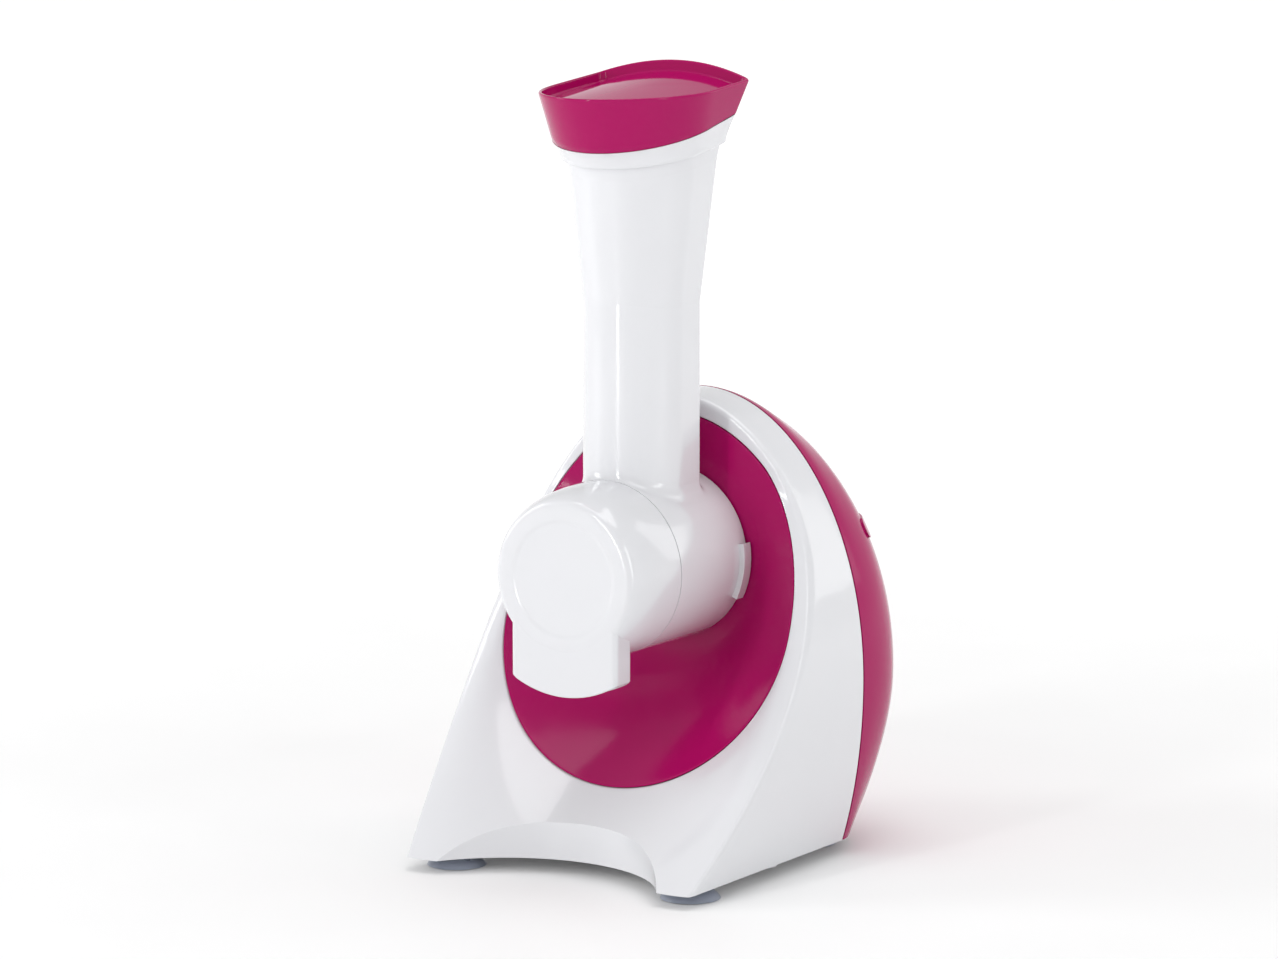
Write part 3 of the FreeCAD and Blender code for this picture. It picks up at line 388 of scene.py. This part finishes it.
def dish_column(angle):
    """The closed section of the dish: its face from edge to hub hole, and its back."""
    outer = dish_point(angle, 0.0)
    inner = dish_point(angle, DISH_LIP)
    column = rounded(outer + Y * 1.1, outer, inner, 5)
    column += [dish_point(angle, DISH_LIP + (1.0 - DISH_LIP) * step / 24) for step in range(1, 25)]
    column += [hub_point(angle, radius) for radius in (40.0, 30.0, HUB_HOLE + 1.0)]
    column += [hub_point(angle, HUB_HOLE, 0.6), hub_point(angle, HUB_HOLE, WALL)]
    column.append(hub_point(angle, 40.0, WALL))
    column += [dish_point(angle, 1.0 - step / 12, WALL) for step in range(13)]
    return column


panel = grid("dish_panel", [dish_column(angle) for angle in turn(240)])
finish_piece(panel, "front_panel")


# ---------------------------------------------------------------- D-shaped sections of chute and pusher

def arc(x, y, radius, start, end, count):
    """Points of an arc, without its last one; angles in degrees."""
    points = []
    for step in range(count):
        angle = math.radians(mixed(start, end, step / count))
        points.append((x + radius * math.cos(angle), y + radius * math.sin(angle)))
    return points


def line(start, end, count):
    """Points of a line, without its last one."""
    points = []
    for step in range(count):
        share = step / count
        points.append((mixed(start[0], end[0], share), mixed(start[1], end[1], share)))
    return points


D_CORNER = 3.0            # radius of the D's two rear corners


def d_outline(half_width, rear, front, radius=D_CORNER):
    """Points (x, y) of a D: half an ellipse in front, a box with rounded corners behind."""
    back = D_CENTRE + rear
    side = half_width - radius
    points = line((half_width, D_CENTRE), (half_width, back - radius), 16)
    points += arc(side, back - radius, radius, 0.0, 90.0, 12)
    points += line((side, back), (-side, back), 28)
    points += arc(-side, back - radius, radius, 90.0, 180.0, 12)
    points += line((-half_width, back - radius), (-half_width, D_CENTRE), 16)
    for step in range(96):
        angle = math.pi * (1.0 + step / 96)
        points.append((half_width * math.cos(angle), D_CENTRE + front * math.sin(angle)))
    return points


def box_outline(half_width, front, rear, radius):
    """Points (x, y) of a rectangle with rounded corners."""
    side = half_width - radius
    points = line((half_width, front + radius), (half_width, rear - radius), 10)
    points += arc(side, rear - radius, radius, 0.0, 90.0, 8)
    points += line((side, rear), (-side, rear), 40)
    points += arc(-side, rear - radius, radius, 90.0, 180.0, 8)
    points += line((-half_width, rear - radius), (-half_width, front + radius), 10)
    points += arc(-side, front + radius, radius, 180.0, 270.0, 8)
    points += line((-side, front), (side, front), 40)
    points += arc(side, front + radius, radius, 270.0, 360.0, 8)
    return points


# ---------------------------------------------------------------- pusher's head

HEAD_FOOT_D = (38.5, 26.0, 42.0)      # the head's D at its foot: half width, rear, front
HEAD_PLANE_D = (43.6, 38.0, 57.0)     # the same where the flare meets the plane above the rim
HEAD_BACK, HEAD_LENGTH = 15.0, 95.0   # station of the head's back, and its length
HEAD_TOP, HEAD_FALL = 373.1, 12.6     # height of the rim at the back, and its fall towards the front
CROWN_BACK, CROWN_FRONT = 120.0, 400.0                      # radii of the rim's crown, side to side
HEAD_FOOT_PLANE = (-57.0, 337.0, 0.226)                     # station, height there, rise behind it
HEAD_TOP_PLANE = (-79.0, 367.0, 0.098)
RECESS = 5.0                          # depth of the top face below the rim
RECESS_CENTRE = -26.0


def slanted(station, front, height, rise):
    """The height at a station of a plane that has the given height at the front and rises behind."""
    return height + rise * (station - front)


def head_foot(station):
    """The height of the head's lower edge."""
    return slanted(station, *HEAD_FOOT_PLANE)


def head_plane(station):
    """The height of the plane that the head's flare reaches, above its rim."""
    return slanted(station, *HEAD_TOP_PLANE)


def head_arch(x, station):
    """The rim's height: it falls towards the front, and its crown is flatter there."""
    forward = (HEAD_BACK - station) / HEAD_LENGTH
    crown = mixed(1.0 / CROWN_BACK, 1.0 / CROWN_FRONT, forward)
    return HEAD_TOP - HEAD_FALL * forward - 0.5 * crown * x * x


def d_inset(sizes, inset):
    """The outline of a D that is smaller all round."""
    return d_outline(*[size - inset for size in sizes])


def head_ring(share, inset=0.0, drop=0.0):
    """The head's outline at a share of its height, 0 at its foot and 1 at its rim."""
    ring = []
    for (x_low, y_low), (x_high, y_high) in zip(d_inset(HEAD_FOOT_D, inset), d_inset(HEAD_PLANE_D, inset)):
        low, high = head_foot(y_low), head_plane(y_high)
        reach = 1.0
        for _ in range(4):    # each round brings the reach closer to where the arch cuts the flare
            x, y = mixed(x_low, x_high, reach), mixed(y_low, y_high, reach)
            reach = (head_arch(x, y) - low) / (high - low)
        reach *= share
        x, y = mixed(x_low, x_high, reach), mixed(y_low, y_high, reach)
        ring.append(Vector((x, y, mixed(low, high, reach) - drop)))
    return ring


def head_floor(scale):
    """A ring of the recessed top face, scale 1 at its border and 0 in the middle."""
    ring = []
    for border in head_ring(1.0, 3.4):
        x = border.x * scale
        y = RECESS_CENTRE + (border.y - RECESS_CENTRE) * scale
        ring.append(Vector((x, y, head_arch(x, y) - RECESS)))
    return ring


def between(start, corner, end, count):
    """Rings of a smooth curve from one ring to another that is drawn towards a third."""
    curves = [rounded(a, b, c, count) for a, b, c in zip(start, corner, end)]
    return [list(ring) for ring in zip(*curves)]


def head_rings():
    """Rings up the head's side, over its rounded rim, down its inside and across its top face."""
    rings = [head_ring(0.02, 3.0), head_ring(0.0, 0.6), head_ring(0.03)]
    rings += [head_ring(0.03 + 0.88 * step / 8) for step in range(1, 9)]
    rings += between(head_ring(0.93), head_ring(1.0), head_ring(1.0, 0.9), 6)
    rings += between(head_ring(1.0, 1.0), head_ring(1.0, 1.9), head_ring(1.0, 2.0, 1.0), 4)
    rings.append(head_ring(1.0, 2.4, 2.6))
    rings += between(head_ring(1.0, 2.7, 4.0), head_ring(1.0, 2.8, RECESS), head_floor(0.975), 4)
    return rings + [head_floor(scale) for scale in (0.8, 0.55, 0.3, 0.08)]


head = grid("pusher_head", list(zip(*head_rings())), closed=False)
finish_piece(head, "pusher_cap")


# ---------------------------------------------------------------- collar under the head

SKIRT_D = (35.8, 21.6, 36.0)          # the collar's D at the chute's rim
COLLAR_D = (38.4, 25.9, 41.9)         # the same under the head
SKIRT_EDGE, SKIRT_FOOT = -2.4, -3.0   # heights of the skirt's lower edge from the chute's rim
RIM_PLANE = (-57.0, 331.0, 0.17)      # station, height there, rise behind it


def rim_height(station):
    """The height of the chute's rim."""
    return slanted(station, *RIM_PLANE)


def skirt_ring(inset, lift):
    """A ring of the skirt that hangs over the chute's rim."""
    return [Vector((x, y, rim_height(y) + lift)) for x, y in d_inset(SKIRT_D, inset)]


def collar_ring(share):
    """A ring of the collar's flare, share 0 at the chute's rim and 1 under the head."""
    spread = share ** 1.4
    ring = []
    for (x_low, y_low), (x_high, y_high) in zip(d_outline(*SKIRT_D), d_outline(*COLLAR_D)):
        x, y = mixed(x_low, x_high, spread), mixed(y_low, y_high, spread)
        ring.append(Vector((x, y, mixed(rim_height(y) + SKIRT_EDGE, head_foot(y) - 0.1, share))))
    return ring


collar_rings = [skirt_ring(1.7, 1.0), skirt_ring(1.7, SKIRT_EDGE)]
collar_rings += [skirt_ring(1.2, SKIRT_FOOT), skirt_ring(0.5, SKIRT_FOOT)]
collar_rings += [collar_ring(step / 8) for step in range(9)]
collar = grid("pusher_collar", list(zip(*collar_rings)))
finish_piece(collar, "pusher_body", stands=False)


# ---------------------------------------------------------------- front cap and spout

# (radius, distance behind the front) round the cap: outside, rounded edge, shallow dish, inside
CAP_PROFILE = [
    (38.0, 37.2), (40.7, 37.2), (41.0, 36.9), (41.0, 34.0), (40.6, 22.0), (40.2, 16.0), (39.4, 11.0),
    (38.3, 6.4), (37.2, 3.2), (36.5, 1.7), (35.8, 0.8), (34.8, 0.25), (33.6, 0.05), (31.0, 0.0),
    (28.6, 0.0), (27.6, 0.06), (26.9, 0.22), (26.2, 0.4), (25.2, 0.5), (12.0, 0.6), (0.01, 0.6),
    (0.01, 3.6), (12.0, 3.6), (30.0, 3.4), (34.4, 5.0), (36.8, 12.0), (38.0, 22.0),
]
SPOUT_HALF, SPOUT_REAR, SPOUT_WALL = 28.5, -73.0, 2.2
SPOUT_REACH = 55.0        # radius of the spout's lower edge about the axis
SPOUT_TOP = 33.5          # radius where the spout starts, inside the cap


def spout_outline(inset, corner):
    """The outline of the spout in plan, smaller all round by the inset."""
    return box_outline(SPOUT_HALF - inset, CAP_FRONT + inset, SPOUT_REAR - inset, corner)


def spout_rings():
    """Closed rings of the spout's wall: down its outside and up its inside."""
    outside = spout_outline(0.0, 2.6)
    lip = spout_outline(0.6, 2.2)
    inside = spout_outline(SPOUT_WALL, 1.2)
    levels = [(outside, 0.0, 0.0), (outside, 0.3, 0.0), (outside, 0.6, 0.0), (outside, 1.0, 0.8)]
    levels += [(lip, 1.0, 0.1), (inside, 1.0, 0.3), (inside, 0.8, 0.0), (inside, 0.0, 0.0)]
    rings = []
    for outline, share, lift in levels:
        ring = []
        for x, y in outline:
            low = AXIS_Z - math.sqrt(SPOUT_REACH ** 2 - x * x)
            high = AXIS_Z - math.sqrt(SPOUT_TOP ** 2 - x * x)
            ring.append(Vector((x, y, mixed(high, low, share) + lift)))
        rings.append(ring)
    return rings


front_disc = turned("front_cap_disc", CAP_PROFILE, Vector((0.0, CAP_FRONT, AXIS_Z)), Z, Y, 240, 30.0)
finish_piece(front_disc, "front_cap")
spout = grid("spout", list(zip(*spout_rings())))
finish_piece(spout, "front_cap")


# ---------------------------------------------------------------- chute and its fillet on the barrel

CHUTE_BASE = d_outline(CHUTE_HALF, CHUTE_REAR, CHUTE_FRONT)
CHUTE_WIDE = d_outline(CHUTE_HALF + 10.0, CHUTE_REAR + 3.0, CHUTE_FRONT + 10.0)
FLARE_Z, FLARE_HEIGHT, FLARE_SHARE = 265.0, 75.0, 0.96    # the flare's start, height and reach
SKIN = 0.8                # thickness of the chute's outer skin
FILLET = 4.5
FILLET_D = d_outline(CHUTE_HALF + FILLET, CHUTE_REAR + FILLET, CHUTE_FRONT + FILLET, D_CORNER + FILLET)
BARREL_FRONT = -49.9      # the barrel's front edge, where the fillet stops


def junction(x, y):
    """The point of the barrel's top above a place in plan; it stays level near the barrel's side."""
    across = min(abs(x), BARREL_RADIUS - 1.0)
    return Vector((x, y, AXIS_Z + math.sqrt(BARREL_RADIUS ** 2 - across ** 2)))


def chute_ring(share, inset=0.0):
    """A ring of the chute's outside, share 0 at the barrel and 1 at the rim."""
    ring = []
    for (x_low, y_low), (x_high, y_high) in zip(CHUTE_BASE, CHUTE_WIDE):
        height = mixed(junction(x_low, y_low).z - 1.0, rim_height(y_low), share)
        flare = FLARE_SHARE * (max(0.0, height - FLARE_Z) / FLARE_HEIGHT) ** 1.6
        x, y = mixed(x_low, x_high, flare), mixed(y_low, y_high, flare)
        scale = 1.0 - inset / math.hypot(x, y - D_CENTRE)
        ring.append(Vector((x * scale, D_CENTRE + (y - D_CENTRE) * scale, height)))
    return ring


def fillet_columns():
    """Sections of the fillet between chute and barrel."""
    columns = []
    for (x, y), (x_on, y_on) in zip(CHUTE_BASE, FILLET_D):
        corner = junction(x, y)
        far = junction(x_on, max(BARREL_FRONT, y_on)) + Z * 0.03
        section = rounded(corner + Z * FILLET, corner, far, 8)
        columns.append(section + [corner - Z * 2.0])
    return columns


skin_rings = [chute_ring(step / 30) for step in range(31)]
skin_rings += [chute_ring(share, SKIN) for share in (1.0, 0.5, 0.0)]
chute_skin = grid("chute_skin", list(zip(*skin_rings)))
finish_piece(chute_skin, "feed_chamber", stands=False)
fillet = grid("chute_fillet", fillet_columns(), smooth_angle=60.0)
finish_piece(fillet, "feed_chamber", stands=False)


# ---------------------------------------------------------------- suction feet

# (radius, height) round a foot: neck, cup, its rim on the table, inside
CUP_PROFILE = [
    (4.6, 11.4), (5.0, 8.0), (5.6, 6.4), (7.4, 5.0), (10.4, 3.6), (12.6, 1.9), (13.7, 0.5), (13.9, 0.05),
    (13.2, 0.0), (12.0, 0.9), (9.8, 2.2), (6.0, 3.4), (0.01, 3.9), (0.01, 11.4),
]


FOOT_PLACES = (("front", 64.0, -80.0), ("rear", 52.0, 46.0))


def foot(name, node, x, y):
    """A wide, thin suction cup with a neck."""
    cup = turned(name, CUP_PROFILE, Vector((x, y, 0.0)), Y, Z, 96, 50.0)
    finish_piece(cup, node)


for row, across, along in FOOT_PLACES:
    foot(f"cup_{row}_left", f"suction_foot_{row}_left", -across, along)
    foot(f"cup_{row}_right", f"suction_foot_{row}_right", across, along)


# ---------------------------------------------------------------- floor, light and camera

# All in metres. A light has a name, a place, a point that it faces, a width, a height and its watts.
FLOOR_SIZE, FLOOR_DROP = 6.0, 0.0003
LIGHTS = (
    ("box_left", (-1.55, -0.85, 0.75), (0.0, 0.0, 0.2), 0.5, 1.2, 8.0),
    ("strip_front", (-0.25, -1.75, 0.55), (0.0, 0.0, 0.2), 0.09, 1.3, 7.0),
    ("box_right", (1.75, -0.1, 0.7), (0.0, 0.0, 0.2), 0.35, 1.2, 4.0),
    ("top", (0.1, 0.2, 1.8), (0.0, 0.0, 0.2), 1.3, 1.3, 12.0),
    ("back", (0.9, 1.4, 0.8), (0.0, 0.0, 0.15), 0.4, 1.2, 1.5),
)
CAMERA_TARGET = Vector((-0.0016, -0.019, 0.179))
CAMERA_DIRECTION = Vector((0.523, -0.838, 0.156)).normalized()
CAMERA_DISTANCE = 2.5


def floor_material():
    """White paper that glows a little more the further it is from the object."""
    material = surface("floor_white", (0.9, 0.9, 0.9), 0.6, 0.005, 40.0, 0.02)
    nodes = material.node_tree.nodes
    shader = nodes["Principled BSDF"]
    place = nodes.new("ShaderNodeTexCoord")
    distance = nodes.new("ShaderNodeVectorMath")
    distance.operation = "LENGTH"
    add_link(material, place, "Object", distance, "Vector")
    glow = nodes.new("ShaderNodeMapRange")
    glow.inputs["From Min"].default_value = 0.3
    glow.inputs["From Max"].default_value = 2.2
    glow.inputs["To Min"].default_value = 0.02
    glow.inputs["To Max"].default_value = 0.5
    add_link(material, distance, "Value", glow, "Value")
    shader.inputs["Emission Color"].default_value = (1.0, 1.0, 1.0, 1.0)
    add_link(material, glow, "Result", shader, "Emission Strength")
    return material


def studio_floor():
    """A large floor just under the feet."""
    build = bmesh.new()
    bmesh.ops.create_grid(build, x_segments=2, y_segments=2, size=FLOOR_SIZE)
    for vert in build.verts:
        vert.co.z -= FLOOR_DROP
    obj = add_mesh("floor", build)
    obj.data.materials.append(floor_material())
    return obj


def soft_light(name, place, aim, width, height, power):
    """A rectangular light, in metres and watts, that faces a point."""
    light = bpy.data.lights.new(name, "AREA")
    light.shape = "RECTANGLE"
    light.size = width
    light.size_y = height
    light.energy = power
    obj = add_object(name, light)
    obj.location = place
    obj.rotation_euler = (Vector(aim) - Vector(place)).to_track_quat("-Z", "Y").to_euler()


def studio_world():
    """A white world that is a little darker high up, so that the glossy parts show a gradient."""
    world = bpy.data.worlds.new("studio")
    bpy.context.scene.world = world
    world.use_nodes = True
    nodes = world.node_tree.nodes
    backdrop = nodes["Background"]
    backdrop.inputs["Color"].default_value = (1.0, 1.0, 1.0, 1.0)
    heading = nodes.new("ShaderNodeTexCoord")
    parts = nodes.new("ShaderNodeSeparateXYZ")
    fade = nodes.new("ShaderNodeMapRange")
    fade.inputs["From Min"].default_value = 0.0
    fade.inputs["From Max"].default_value = 0.35
    fade.inputs["To Min"].default_value = 1.0
    fade.inputs["To Max"].default_value = 0.6
    add_link(world, heading, "Generated", parts, "Vector")
    add_link(world, parts, "Z", fade, "Value")
    add_link(world, fade, "Result", backdrop, "Strength")


def studio_camera():
    """The camera at the photograph's viewing angle."""
    camera = bpy.data.cameras.new("camera")
    camera.lens = 151.0
    camera.sensor_width = 36.0
    obj = add_object("camera", camera)
    obj.location = CAMERA_TARGET + CAMERA_DIRECTION * CAMERA_DISTANCE
    obj.rotation_euler = (-CAMERA_DIRECTION).to_track_quat("-Z", "Y").to_euler()
    bpy.context.scene.camera = obj


studio_floor()
for lamp in LIGHTS:
    soft_light(*lamp)
studio_world()
bpy.context.scene.view_settings.view_transform = "Standard"
studio_camera()
